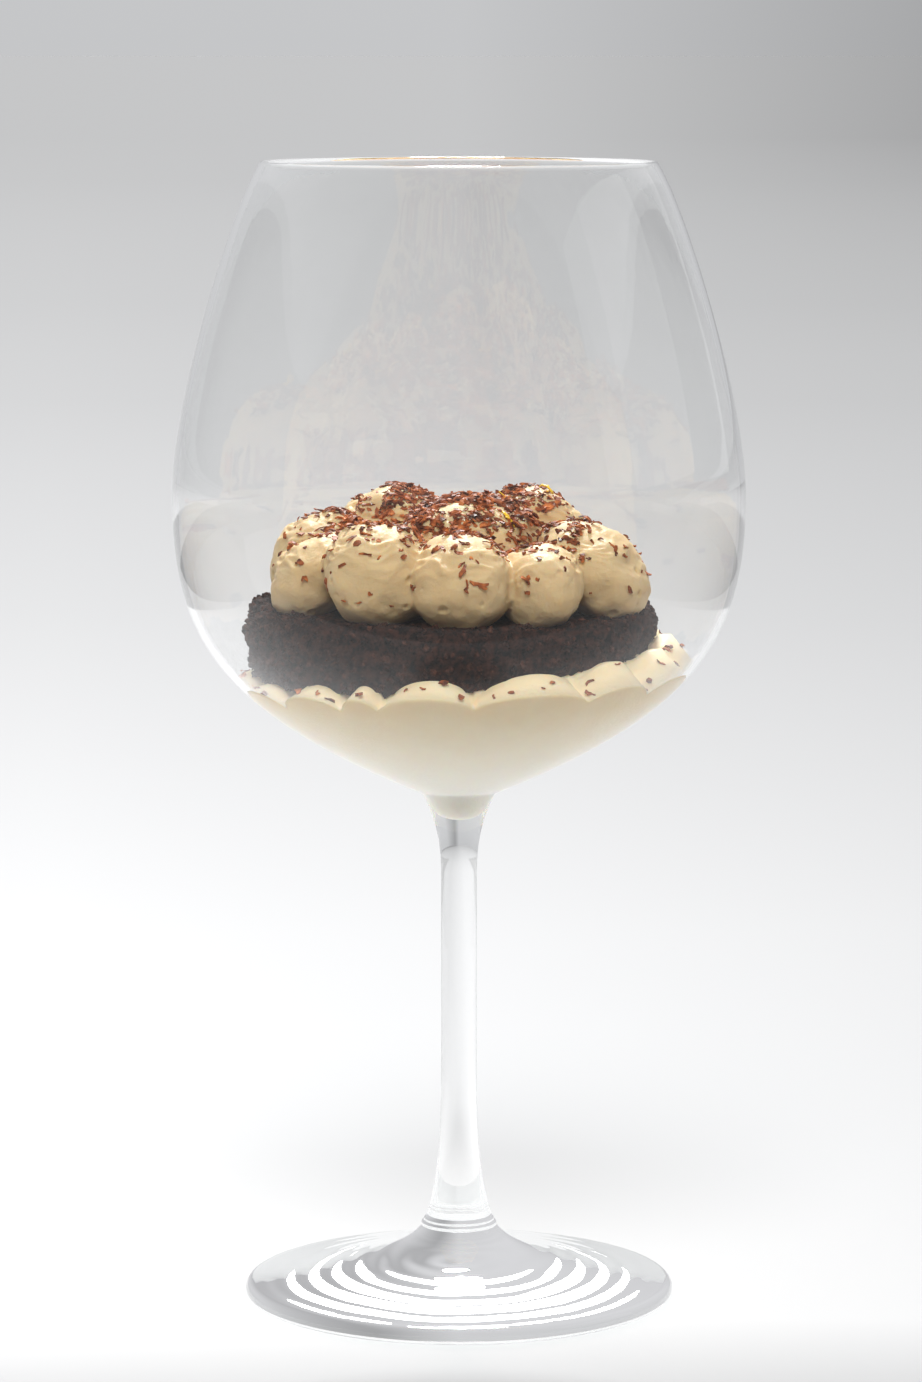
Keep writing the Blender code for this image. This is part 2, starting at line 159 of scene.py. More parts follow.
def glass_outline():
    """The whole section of the glass, from the bowl's floor over the rim to the foot."""
    inside = bowl_inside()
    outside = bowl_face()
    lip_middle = (
        (inside[-1][0] + outside[-1][0]) / 2,
        (inside[-1][1] + outside[-1][1]) / 2,
    )
    lean = math.degrees(math.atan2(outside[-1][1] - lip_middle[1], outside[-1][0] - lip_middle[0]))
    lip = arc_points(lip_middle, WALL / 2, lean + 180, lean, 12)
    neck = curve_points(
        BOWL_BASE,
        (BOWL_BASE[0] - 2.2 * MM, BOWL_BASE[1] - 5 * MM),
        (STEM_RADIUS, STEM_TOP + 7 * MM),
        (STEM_RADIUS, STEM_TOP),
        24,
    )
    stem = [(STEM_RADIUS, STEM_TOP + (STEM_FOOT - STEM_TOP) * step / 8) for step in range(1, 9)]
    ankle = curve_points(
        (STEM_RADIUS, STEM_FOOT),
        (STEM_RADIUS, STEM_FOOT - 17 * MM),
        (COLLAR[0] - 1.6 * MM, COLLAR[1] + 5 * MM),
        COLLAR,
        22,
    )
    ring = []
    for bead in range(2):
        middle = (COLLAR[0] + bead * 0.5 * MM, COLLAR[1] - (bead + 0.5) * 0.8 * MM)
        ring += arc_points(middle, COLLAR_BEAD + 0.16 * MM, 70, -50, 6)
    half_edge = FOOT_EDGE / 2
    edge = arc_points((FOOT_RADIUS - half_edge, half_edge), half_edge, 90, -90, 14)
    flare = curve_points(
        ring[-1],
        (COLLAR[0] + 4 * MM, COLLAR[1] - 6.5 * MM),
        (COLLAR[0] + 14 * MM, FOOT_EDGE + 2.6 * MM),
        edge[0],
        40,
    )
    underside = curve_points(
        (FOOT_REST_INNER, 0.0),
        (FOOT_REST_INNER * 0.7, FOOT_HOLLOW * 0.35),
        (FOOT_REST_INNER * 0.4, FOOT_HOLLOW),
        (0.0, FOOT_HOLLOW),
        20,
    )
    return (
        inside + lip[1:-1] + outside[::-1] + neck + stem + ankle + ring
        + flare[:-1] + edge + [(FOOT_REST_INNER, 0.0)] + underside
    )


def turned_mesh(name, outline, turns):
    """A closed body turned round the axis; its outline starts and ends on the axis."""
    wall = np.array(outline[1:-1])
    angles = np.arange(turns) * (math.tau / turns)
    rings = np.empty((len(wall), turns, 3))
    rings[:, :, 0] = wall[:, :1] * np.cos(angles)
    rings[:, :, 1] = wall[:, :1] * np.sin(angles)
    rings[:, :, 2] = wall[:, 1:]
    vertices = [(0.0, 0.0, outline[0][1]), (0.0, 0.0, outline[-1][1])]
    vertices += [tuple(point) for point in rings.reshape(-1, 3)]
    faces = []
    last = 2 + (len(wall) - 1) * turns
    for turn in range(turns):
        after = (turn + 1) % turns
        faces.append((0, 2 + turn, 2 + after))
        faces.append((1, last + after, last + turn))
        for level in range(len(wall) - 1):
            low = 2 + level * turns
            faces.append((low + turn, low + turns + turn, low + turns + after, low + after))
    mesh = bpy.data.meshes.new(name)
    mesh.from_pydata(vertices, [], faces)
    form = bmesh.new()
    form.from_mesh(mesh)
    bmesh.ops.recalc_face_normals(form, faces=form.faces)
    form.to_mesh(mesh)
    form.free()
    mesh.shade_smooth()
    return mesh


def new_material(name):
    """An empty node material with its Principled shader and its output."""
    material = bpy.data.materials.new(name)
    material.use_nodes = True
    nodes = material.node_tree.nodes
    return material, nodes, material.node_tree.links, nodes["Principled BSDF"]


def carried(nodes, links, value, low, high, at_low, at_high):
    """A value taken over from one range to another, and held at both ends."""
    node = nodes.new("ShaderNodeMapRange")
    node.inputs["From Min"].default_value = low
    node.inputs["From Max"].default_value = high
    node.inputs["To Min"].default_value = at_low
    node.inputs["To Max"].default_value = at_high
    links.new(value, node.inputs["Value"])
    return node.outputs["Result"]


def mottled(nodes, links, spot, scale, detail, roughness=0.5):
    """An uneven pattern all through a material."""
    node = nodes.new("ShaderNodeTexNoise")
    node.inputs["Scale"].default_value = scale
    node.inputs["Detail"].default_value = detail
    node.inputs["Roughness"].default_value = roughness
    links.new(spot, node.inputs["Vector"])
    return node.outputs["Fac"]


def raised(nodes, links, height, strength, distance):
    """A relief too fine for the mesh, whose height follows a pattern."""
    node = nodes.new("ShaderNodeBump")
    node.inputs["Strength"].default_value = strength
    node.inputs["Distance"].default_value = distance
    links.new(height, node.inputs["Height"])
    return node


def clear_crystal():
    """Polished crystal with faint drawn streaks, through which lamps shine unhindered."""
    material, nodes, links, shader = new_material("clear_crystal")
    shader.inputs["Transmission Weight"].default_value = 1.0
    shader.inputs["Roughness"].default_value = 0.0
    shader.inputs["IOR"].default_value = 1.52
    spot = nodes.new("ShaderNodeTexCoord").outputs["Object"]
    rings = nodes.new("ShaderNodeTexWave")
    rings.wave_type = "RINGS"
    rings.rings_direction = "Z"
    rings.inputs["Scale"].default_value = math.tau / (20 * FOOT_RING_WIDTH)
    rings.inputs["Distortion"].default_value = 1.8
    rings.inputs["Detail Scale"].default_value = 0.6
    links.new(spot, rings.inputs["Vector"])
    parts = nodes.new("ShaderNodeSeparateXYZ")
    links.new(spot, parts.inputs[0])
    flat = nodes.new("ShaderNodeVectorMath")
    flat.operation = "MULTIPLY"
    flat.inputs[1].default_value = (1.0, 1.0, 0.0)
    links.new(spot, flat.inputs[0])
    from_axis = nodes.new("ShaderNodeVectorMath")
    from_axis.operation = "LENGTH"
    links.new(flat.outputs["Vector"], from_axis.inputs[0])
    fading_up = (FOOT_RING_TOP, FOOT_RING_TOP + 2 * MM, 1.0, 0.0)
    fading_out = (FOOT_RING_REACH, FOOT_RING_REACH + 6 * MM, 1.0, 0.0)
    ring_height = rings.outputs["Fac"]
    for value, fading in ((from_axis.outputs["Value"], fading_out), (parts.outputs["Z"], fading_up)):
        less = nodes.new("ShaderNodeMath")
        less.operation = "MULTIPLY"
        links.new(ring_height, less.inputs[0])
        links.new(carried(nodes, links, value, *fading), less.inputs[1])
        ring_height = less.outputs[0]
    turned_rings = raised(nodes, links, ring_height, 0.2, 0.3 * MM)
    stretch = nodes.new("ShaderNodeMapping")
    stretch.inputs["Scale"].default_value = (260.0, 260.0, 16.0)
    links.new(spot, stretch.inputs["Vector"])
    streaks = mottled(nodes, links, stretch.outputs["Vector"], 1.0, 2.0)
    tint = nodes.new("ShaderNodeMix")
    tint.data_type = "RGBA"
    tint.inputs[6].default_value = (*CRYSTAL_TINT, 1.0)
    tint.inputs[7].default_value = (1.0, 1.0, 1.0, 1.0)
    links.new(streaks, tint.inputs["Factor"])
    links.new(tint.outputs[2], shader.inputs["Base Color"])
    draw_lines = raised(nodes, links, streaks, 0.05, 0.2 * MM)
    links.new(turned_rings.outputs["Normal"], draw_lines.inputs["Normal"])
    links.new(draw_lines.outputs["Normal"], shader.inputs["Normal"])
    ray = nodes.new("ShaderNodeLightPath")
    seen = shader.outputs[0]
    for kind, passing in (
        ("Is Shadow Ray", LIGHT_PASSING),
        ("Is Diffuse Ray", LIGHT_PASSING),
        ("Is Reflection Ray", (1.0, 1.0, 1.0)),
    ):
        clear = nodes.new("ShaderNodeBsdfTransparent")
        clear.inputs["Color"].default_value = (*passing, 1.0)
        either = nodes.new("ShaderNodeMixShader")
        links.new(ray.outputs[kind], either.inputs[0])
        links.new(seen, either.inputs[1])
        links.new(clear.outputs[0], either.inputs[2])
        seen = either.outputs[0]
    links.new(seen, nodes["Material Output"].inputs["Surface"])
    return material


def stand_in(name, mesh, material, slot, *nodes):
    """Puts a finished piece where its CAD nodes are, riding on the dessert's one body."""
    mesh.materials.clear()
    mesh.materials.append(material)
    piece = bpy.data.objects.new(name, mesh)
    bpy.context.scene.collection.objects.link(piece)
    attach(piece, "root")
    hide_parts(*nodes)
    return piece


stand_in(
    "crystal_glass",
    turned_mesh("crystal_glass", glass_outline(), GLASS_TURNS),
    clear_crystal(),
    "clear_glass",
    "wine_glass",
)


# Lower mousse
# Vanilla mousse spooned in dollops side by side against the bowl's wall, over a core that
# fills the bowl's floor. Where it presses on the glass it lies flat and shows as scallops.
BASE_SLOPE = (0.085, 0.02)
BASE_WALL_HEIGHT = 118 * MM
BASE_MIDDLE_HEIGHT = 128 * MM
BASE_MIDDLE_RADIUS = 36.5 * MM
BASE_RING_RADIUS = 39.8 * MM
BASE_DOLLOP_MIDDLE = 117.6 * MM
BASE_DOLLOP_HALF_HEIGHT = 9.8 * MM
BASE_DOLLOP_HALF_DEPTH = 4.5 * MM
BASE_DOLLOP_SPREAD = 6.1 * MM
BASE_DOLLOP_OVERLAP = 1.07
FRONT_CREASES = (-53.0, -32.0, -21.0, 3.6, 33.5, 55.0)
FRONT_LIFTS = (0.0, 0.4 * MM, 0.9 * MM, 0.2 * MM, -0.4 * MM)
EVEN_DOLLOPS = 11
SQUARENESS = 2.12
REACH_INTO_WALL = 0.12 * MM
BASE_SPOKES = 420
BASE_RINGS = 56
BASE_WALL_RINGS = 60
# Painted light: the lower mousse is the crown's cream made paler, for the shade under the sponge.
LOWER_CREAM_PAINTED_PALER = ((0.96, 0.78, 0.51), (0.93, 0.73, 0.45))
# Painted light: the mousse low in the bowl, left in shade by the narrow neck, is made paler.
PAINTED_LIGHT_CREAM = (0.98, 0.94, 0.85)
PAINTED_LIGHT_BELOW = 121 * MM
PAINTED_LIGHT_FADE = 19 * MM


def base_creases():
    """Angles of the creases between the lower dollops, in degrees from the front."""
    first = FRONT_CREASES[-1]
    last = FRONT_CREASES[0] + 360
    step = (last - first) / EVEN_DOLLOPS
    return list(FRONT_CREASES) + [first + step * count for count in range(1, EVEN_DOLLOPS + 1)]


def soft_max(heights, softness):
    """The highest of several heights, with the creases between them rounded."""
    heights = np.array(heights)
    top = heights.max(axis=0)
    return top + softness * np.log(np.exp((heights - top) / softness).sum(axis=0))


def base_top(angle, radius):
    """Height of the lower mousse at an angle from the front and a distance from the axis."""
    x = radius * math.sin(angle)
    y = -radius * math.cos(angle)
    rise = BASE_SLOPE[0] * x + BASE_SLOPE[1] * y
    core = np.interp(
        radius,
        (0.0, BASE_MIDDLE_RADIUS - 6 * MM, BASE_MIDDLE_RADIUS, BASE_RING_RADIUS, BELLY_RADIUS),
        (
            BASE_MIDDLE_HEIGHT,
            BASE_MIDDLE_HEIGHT,
            BASE_MIDDLE_HEIGHT - 2 * MM,
            BASE_WALL_HEIGHT + 3 * MM,
            BASE_WALL_HEIGHT - 8 * MM,
        ),
    )
    heights = [core + rise]
    creases = base_creases()
    lifts = FRONT_LIFTS + (0.0,) * EVEN_DOLLOPS
    for index, (start, end) in enumerate(zip(creases, creases[1:])):
        middle = math.radians((start + end) / 2)
        half = math.radians(end - start) / 2 * (BASE_RING_RADIUS + 4 * MM) * BASE_DOLLOP_OVERLAP
        turn = (angle - middle + math.pi) % math.tau - math.pi
        if abs(turn) > math.pi / 2:
            continue
        across = abs(radius * math.sin(turn)) / half
        out = radius * math.cos(turn) - BASE_RING_RADIUS
        out = np.where(out > 0, out / BASE_DOLLOP_SPREAD, -out / BASE_DOLLOP_HALF_DEPTH)
        room = np.clip(1 - across**SQUARENESS - out**SQUARENESS, 0, 1)
        bulge = BASE_DOLLOP_HALF_HEIGHT * room ** (1 / SQUARENESS)
        uneven = 0.5 * MM * noise.noise(Vector((middle * 5, index, 0.3)))
        heights.append(BASE_DOLLOP_MIDDLE + rise + bulge + lifts[index] + uneven)
    return soft_max(heights, 0.35 * MM)


def lower_mousse_mesh():
    """The lower mousse as spokes from its middle out to the wall and down along it."""
    wall = np.array(bowl_inside(REACH_INTO_WALL))
    wall = wall[wall[:, 1] < BELLY_HEIGHT - 5 * MM]
    inner_reach = 34 * MM
    reach = inner_reach + np.linspace(0, 1, 400) * (BELLY_RADIUS - inner_reach)
    inward = 1 - (1 - np.linspace(0, 1, BASE_RINGS)) ** 0.6
    spokes = []
    for spoke in range(BASE_SPOKES):
        angle = math.tau * spoke / BASE_SPOKES
        over = base_top(angle, reach) - np.interp(reach, wall[:, 0], wall[:, 1])
        contact = reach[np.argmax(over < 0)]
        radii = contact * inward[1:]
        heights = base_top(angle, radii)
        heights[-1] = np.interp(contact, wall[:, 0], wall[:, 1])
        down = contact * (1 - np.linspace(0, 1, BASE_WALL_RINGS + 1)[1:-1])
        radii = np.concatenate([radii, down])
        heights = np.concatenate([heights, np.interp(down, wall[:, 0], wall[:, 1])])
        spokes.append(np.stack([
            radii * math.sin(angle),
            -radii * math.cos(angle),
            heights,
        ], axis=1))
    spokes = np.array(spokes)
    levels = spokes.shape[1]
    top_middle = float(base_top(0.0, np.array([0.0]))[0])
    vertices = [(0.0, 0.0, top_middle), (0.0, 0.0, wall[0][1])]
    vertices += [tuple(point) for point in spokes.reshape(-1, 3)]
    faces = []
    for spoke in range(BASE_SPOKES):
        here = 2 + spoke * levels
        beside = 2 + ((spoke + 1) % BASE_SPOKES) * levels
        faces.append((0, here, beside))
        faces.append((1, beside + levels - 1, here + levels - 1))
        for level in range(levels - 1):
            faces.append((here + level, here + level + 1, beside + level + 1, beside + level))
    mesh = bpy.data.meshes.new("lower_mousse")
    mesh.from_pydata(vertices, [], faces)
    form = bmesh.new()
    form.from_mesh(mesh)
    bmesh.ops.recalc_face_normals(form, faces=form.faces)
    for vertex in form.verts:
        radius = math.hypot(vertex.co.x, vertex.co.y)
        free = vertex.co.z - np.interp(radius, wall[:, 0], wall[:, 1])
        if free > 0.3 * MM:
            swell = noise.noise(vertex.co / (7 * MM)) * 0.45 * MM
            fine = noise.noise(vertex.co / (1.8 * MM)) * 0.06 * MM
            vertex.co.z += (swell + fine) * min(free / (3 * MM), 1)
    form.to_mesh(mesh)
    form.free()
    mesh.shade_smooth()
    return mesh


def shaded(nodes, links, value, stops):
    """A colour that follows a value through stops, each a position and a colour."""
    ramp = nodes.new("ShaderNodeValToRGB")
    elements = ramp.color_ramp.elements
    while len(elements) < len(stops):
        elements.new(1.0)
    for index, (position, colour) in enumerate(stops):
        elements[index].position = position
        elements[index].color = (*colour, 1.0)
    links.new(value, ramp.inputs["Fac"])
    return ramp.outputs["Color"]


def vanilla_mousse(name, cream, fineness, painted_light_below):
    """Whipped mousse: creamy, faintly mottled, moist, with painted light making it paler low in the
    bowl.
    """
    material, nodes, links, shader = new_material(name)
    pale, deep = cream
    spot = nodes.new("ShaderNodeTexCoord").outputs["Object"]
    clouds = mottled(nodes, links, spot, 140.0, 4.0)
    parts = nodes.new("ShaderNodeSeparateXYZ")
    links.new(spot, parts.inputs["Vector"])
    # Painted light: paler cream low down, fading out upwards.
    painted_light_band = (painted_light_below - PAINTED_LIGHT_FADE, painted_light_below, 0.85, 0.0)
    painted_lighter = nodes.new("ShaderNodeMix")
    painted_lighter.data_type = "RGBA"
    painted_lighter.inputs[7].default_value = (*PAINTED_LIGHT_CREAM, 1.0)
    links.new(carried(nodes, links, parts.outputs["Z"], *painted_light_band), painted_lighter.inputs["Factor"])
    links.new(shaded(nodes, links, clouds, ((0.32, deep), (0.68, pale))), painted_lighter.inputs[6])
    links.new(painted_lighter.outputs[2], shader.inputs["Base Color"])
    bubbles = mottled(nodes, links, spot, fineness, 5.0, 0.6)
    links.new(carried(nodes, links, bubbles, 0.0, 1.0, 0.38, 0.62), shader.inputs["Roughness"])
    skin = raised(nodes, links, bubbles, 0.5, 0.35 * MM)
    links.new(skin.outputs["Normal"], shader.inputs["Normal"])
    shader.inputs["Subsurface Weight"].default_value = 0.5
    shader.inputs["Subsurface Radius"].default_value = (1.0, 0.62, 0.32)
    shader.inputs["Subsurface Scale"].default_value = 1.8 * MM
    shader.inputs["IOR"].default_value = 1.4
    return material


stand_in(
    "lower_mousse",
    lower_mousse_mesh(),
    vanilla_mousse("lower_mousse", LOWER_CREAM_PAINTED_PALER, 900.0, PAINTED_LIGHT_BELOW),
    "lower_mousse",
    "mousse_base",
)


# Chocolate sponge
# A round of dark cocoa sponge, cut by hand and laid on the lower mousse. Its side is torn
# and crumbly, thick at the front left, and loose crumbs stick to it all round.
SPONGE_RADIUS = 39.0 * MM
SPONGE_MIDDLE = (-1.3 * MM, 0.9 * MM)
SPONGE_SWELL = 1.2 * MM
SPONGE_TOP = 136.4 * MM
SPONGE_TOP_SLOPE = (-0.01, 0.02)
SPONGE_BOTTOM = 126.3 * MM
SPONGE_BOTTOM_SLOPE = (0.07, 0.05)
SPONGE_CRAG = 1.1 * MM
SPONGE_SPOKES = 380
SPONGE_SIDE_LEVELS = 26
# The darker colour is painted shade in the pores; the lighter is the crumb's warm brown.
SPONGE_COLOURS = ((0.003, 0.0015, 0.001), (0.075, 0.026, 0.015))
CRUMBS = 2300
# Painted highlight: the loose crumbs are the sponge's crumb made paler and warmer, as if lit.
CRUMB_COLOURS_PAINTED_PALER = ((0.006, 0.0025, 0.0015), (0.12, 0.044, 0.026))


def sponge_faces(x, y):
    """Heights of the sponge's lower and upper face at a place, sloped and uneven."""
    low_rough = noise.noise(Vector((x, y, SPONGE_BOTTOM)) / (7 * MM)) * 0.4 * MM
    high_rough = noise.noise(Vector((x, y, SPONGE_TOP)) / (7 * MM)) * 0.5 * MM
    low = SPONGE_BOTTOM + SPONGE_BOTTOM_SLOPE[0] * x + SPONGE_BOTTOM_SLOPE[1] * y
    high = SPONGE_TOP + SPONGE_TOP_SLOPE[0] * x + SPONGE_TOP_SLOPE[1] * y
    return low + low_rough, high + high_rough


def crumb_relief(place):
    """How far the torn crumb stands out at a place: lumps, grains and fine pores."""
    lumps = noise.noise(place / (3.6 * MM)) * 1.0 * MM
    grains = (0.5 - noise.voronoi(place / (1.5 * MM))[0][0]) * 1.0 * MM
    pores = noise.noise(place / (0.7 * MM)) * 0.35 * MM
    return lumps + grains + pores


def sponge_mesh():
    """The sponge disc with its torn side and crumbly faces."""
    shares = [0.12, 0.3, 0.48, 0.64, 0.76, 0.84, 0.9, 0.94, 0.97, 0.985]
    rings = [(share, 0.0) for share in shares]
    rings += [(1.0, level / SPONGE_SIDE_LEVELS) for level in range(SPONGE_SIDE_LEVELS + 1)]
    rings += [(share, 1.0) for share in reversed(shares)]
    form = bmesh.new()
    loops = []
    for share, rise in rings:
        loop = []
        for spoke in range(SPONGE_SPOKES):
            angle = math.tau * spoke / SPONGE_SPOKES
            way = Vector((math.cos(angle), math.sin(angle), 0.0))
            crag = noise.noise(way * 6 + Vector((0, 0, 2.1 * rise)))
            swell = (math.sin(math.pi * rise) - 0.7) * SPONGE_SWELL
            radius = SPONGE_RADIUS + SPONGE_CRAG * crag + swell
            spot = way * (radius * share) + Vector((*SPONGE_MIDDLE, 0.0))
            low, high = sponge_faces(spot.x, spot.y)
            spot.z = low + (high - low) * rise
            loop.append(form.verts.new(spot))
        loops.append(loop)
    for height, loop in zip(sponge_faces(*SPONGE_MIDDLE), (loops[0], loops[-1])):
        tip = form.verts.new((*SPONGE_MIDDLE, height))
        for spoke in range(SPONGE_SPOKES):
            form.faces.new((tip, loop[spoke], loop[(spoke + 1) % SPONGE_SPOKES]))
    for below, above in zip(loops, loops[1:]):
        for spoke in range(SPONGE_SPOKES):
            after = (spoke + 1) % SPONGE_SPOKES
            form.faces.new((below[spoke], below[after], above[after], above[spoke]))
    bmesh.ops.recalc_face_normals(form, faces=form.faces)
    form.normal_update()
    torn = [(vertex, vertex.normal * crumb_relief(vertex.co)) for vertex in form.verts]
    for vertex, shift in torn:
        vertex.co += shift
    mesh = bpy.data.meshes.new("cocoa_sponge")
    form.to_mesh(mesh)
    form.free()
    mesh.shade_smooth()
    return mesh


def sidestep(place):
    """A smooth uneven shift at a place, different along each axis and the same in every run."""
    apart = (Vector((9.3, -1.5, -8.0)), Vector((0.0, 0.0, 0.0)), Vector((6.3, 11.2, -4.4)))
    return Vector(noise.noise(place + shift) for shift in apart)


def crumb_mesh(sponge, draw):
    """Loose crumbs of many sizes sitting on the sponge's side and edges."""
    sides = [face for face in sponge.polygons if face.area > 0]
    weights = []
    for face in sides:
        out = math.hypot(face.center.x - SPONGE_MIDDLE[0], face.center.y - SPONGE_MIDDLE[1])
        torn_end = 1 + 2.2 * (face.center.x < -30 * MM)
        weights.append(face.area * torn_end if out > SPONGE_RADIUS - 4 * MM else 0.0)
    form = bmesh.new()
    bmesh.ops.create_icosphere(form, subdivisions=2, radius=1.0)
    ball = [vertex.co.copy() for vertex in form.verts]
    corners = [[vertex.index for vertex in face.verts] for face in form.faces]
    form.free()
    vertices, faces = [], []
    for face in draw.choices(sides, weights, k=CRUMBS):
        size = (0.22 + 0.6 * draw.random() ** 3) * MM
        spot = Vector(face.center) + Vector(face.normal) * size * draw.uniform(-0.2, 0.9)
        around = Matrix.Translation(spot) @ Matrix.Rotation(draw.uniform(0, math.tau), 4, "Z")
        around = around @ Matrix.Rotation(draw.uniform(0, math.tau), 4, "X")
        stretch = Matrix.Diagonal((draw.uniform(0.6, 1.3), draw.uniform(0.6, 1.1), 1.0, 1.0))
        first = len(vertices)
        for point in ball:
            place = around @ stretch @ (point * size)
            vertices.append(place + sidestep(place / (0.5 * MM)) * size * 0.6)
        faces += [[first + corner for corner in triangle] for triangle in corners]
    mesh = bpy.data.meshes.new("sponge_crumbs")
    mesh.from_pydata(vertices, [], faces)
    return mesh


def cocoa_crumb(name, colours):
    """Dry baked cocoa crumb, warm brown on its grains, with painted shade near black in its pores."""
    material, nodes, links, shader = new_material(name)
    painted_pore_shade, warm = colours
    spot = nodes.new("ShaderNodeTexCoord").outputs["Object"]
    grains = mottled(nodes, links, spot, 620.0, 6.0, 0.7)
    # Painted shade: the pattern that raises the grains also colours them, darkest in the sunken pores.
    links.new(shaded(nodes, links, grains, ((0.40, painted_pore_shade), (0.72, warm))), shader.inputs["Base Color"])
    links.new(carried(nodes, links, grains, 0.0, 1.0, 0.95, 0.7), shader.inputs["Roughness"])
    crumb = raised(nodes, links, grains, 0.8, 0.4 * MM)
    links.new(crumb.outputs["Normal"], shader.inputs["Normal"])
    shader.inputs["Specular IOR Level"].default_value = 0.12
    return material


sponge = sponge_mesh()
crumbs = crumb_mesh(sponge, random.Random(31))
stand_in(
    "cocoa_sponge",
    sponge,
    cocoa_crumb("cocoa_sponge", SPONGE_COLOURS),
    "chocolate_sponge",
    "chocolate_sponge",
)
stand_in(
    "sponge_crumbs",
    crumbs,
    cocoa_crumb("sponge_crumbs", CRUMB_COLOURS_PAINTED_PALER),
    "chocolate_sponge",
    "chocolate_sponge",
)


# Crown of mousse
# Dollops of the same mousse spooned side by side onto the sponge, smeared and pitted.
# Each row is place in plan, half width and depth, height, and lean, in millimetres.
CROWN = {
    "front": (0.3, -26.4, 9.9, 10.2, 16.4, 0.0, 1.5),
    "front_left": (-14.9, -22.6, 10.4, 10.6, 18.2, -0.6, 1.5),
    "left_front": (-26.6, -10.0, 9.2, 10.4, 14.8, 3.0, 0.5),
    "left_back": (-27.4, 8.0, 9.0, 10.0, 16.8, 2.0, -0.5),
    "back_left": (-13.5, 21.0, 10.8, 11.0, 20.6, 1.0, -1.0),
    "back": (1.0, 26.0, 9.6, 10.4, 17.0, 0.0, -1.5),
    "back_right": (14.4, 21.8, 10.6, 10.8, 20.4, -1.0, -1.0),
    "right_back": (26.2, 8.8, 9.6, 10.2, 14.2, -2.0, -0.5),
    "right_front": (26.0, -9.6, 9.8, 11.2, 17.2, -3.5, 1.0),
    "front_right": (15.4, -22.4, 7.9, 9.6, 14.4, 0.0, 1.0),
    "middle": (2.0, 0.0, 14.0, 14.2, 21.0, 0.0, 0.0),
    "heart": (0.0, 0.0, 27.0, 26.0, 12.5, 0.0, 0.0),
}
DOLLOP_SINK = 1.7 * MM
DOLLOP_FLARE = 0.07
DOLLOP_RIPPLE = 0.45 * MM
RIPPLE_SIZE = 6 * MM
CROWN_VOXEL = 0.42 * MM
BUBBLE_PITS = 430
BUBBLE_MILLIMETRES = (0.35, 1.0)
# Painted shade: the crown's cream is the lower mousse's made deeper, to temper the strong lamps on it.
CROWN_CREAM_PAINTED_DEEPER = ((0.79, 0.585, 0.32), (0.70, 0.49, 0.25))


def squared(value):
    """Pushes a unit sphere's coordinate outwards, so that shoulders grow fuller."""
    return math.copysign(abs(value) ** (2 / SQUARENESS), value)


def add_dollop(form, centre, halves, lean, seed):
    """Adds one rounded heap of mousse, fuller than an egg and leaning at its top."""
    made = bmesh.ops.create_icosphere(form, subdivisions=5, radius=1.0)
    for vertex in made["verts"]:
        way = vertex.co.normalized()
        full = Vector(squared(value) for value in way)
        flare = 1 + DOLLOP_FLARE * full.z
        shape = Vector((full.x * halves[0] * flare, full.y * halves[1] * flare, full.z * halves[2]))
        shape += Vector((lean[0], lean[1], 0.0)) * full.z + Vector(centre)
        moved = shape / RIPPLE_SIZE + Vector((seed * 3.7, seed * 1.3, 0.0))
        vertex.co = shape + way * DOLLOP_RIPPLE * noise.noise(moved)


def grown_together(form, voxel):
    """One closed skin round all the heaps in a form, with their creases softened."""
    mesh = bpy.data.meshes.new("heaps")
    form.to_mesh(mesh)
    form.free()
    heap = bpy.data.objects.new("heaps", mesh)
    bpy.context.scene.collection.objects.link(heap)
    skin = heap.modifiers.new("skin", "REMESH")
    skin.mode = "VOXEL"
    skin.voxel_size = voxel
    soften = heap.modifiers.new("soften", "SMOOTH")
    soften.factor = 0.5
    soften.iterations = 3
    graph = bpy.context.evaluated_depsgraph_get()
    graph.update()
    result = bpy.data.meshes.new_from_object(heap.evaluated_get(graph))
    bpy.data.objects.remove(heap, do_unlink=True)
    return result


def smears(place, upward):
    """Relief of spooned mousse at a place: soft swellings, and folds on the shoulders."""
    swelling = noise.noise(place / (6.5 * MM)) * 0.75 * MM + noise.noise(place / (2.8 * MM)) * 0.3 * MM
    wander = sidestep(place / (6 * MM)) * 2.2 * MM
    folded = place + wander
    folds = noise.noise(Vector((folded.x / (5 * MM), folded.y / (5 * MM), folded.z / (1.5 * MM))))
    shoulder = max(0.0, 1 - abs(upward - 0.55) / 0.5)
    crest = (1 - abs(folds) * 2.6) * 0.45 * MM * shoulder
    grain = noise.noise(place / (0.9 * MM)) * 0.05 * MM
    return swelling + max(crest, -0.3 * MM) + grain


def pit_bubbles(form, draw):
    """Presses small burst bubbles into the skin, each with a faint raised lip."""
    tree = kdtree.KDTree(len(form.verts))
    for vertex in form.verts:
        tree.insert(vertex.co, vertex.index)
    tree.balance()
    form.verts.ensure_lookup_table()
    low, high = BUBBLE_MILLIMETRES
    for _ in range(BUBBLE_PITS):
        middle = form.verts[draw.randrange(len(form.verts))]
        radius = (low + (high - low) * draw.random() ** 3) * MM
        inward = -middle.normal.copy()
        centre = middle.co.copy()
        for _, index, distance in tree.find_range(centre, radius * 1.6):
            share = distance / radius
            if share < 1:
                depth = radius * 0.75 * (1 - share * share)
            else:
                depth = -radius * 0.12 * (1 - abs(share - 1.3) / 0.3)
            form.verts[index].co += inward * depth


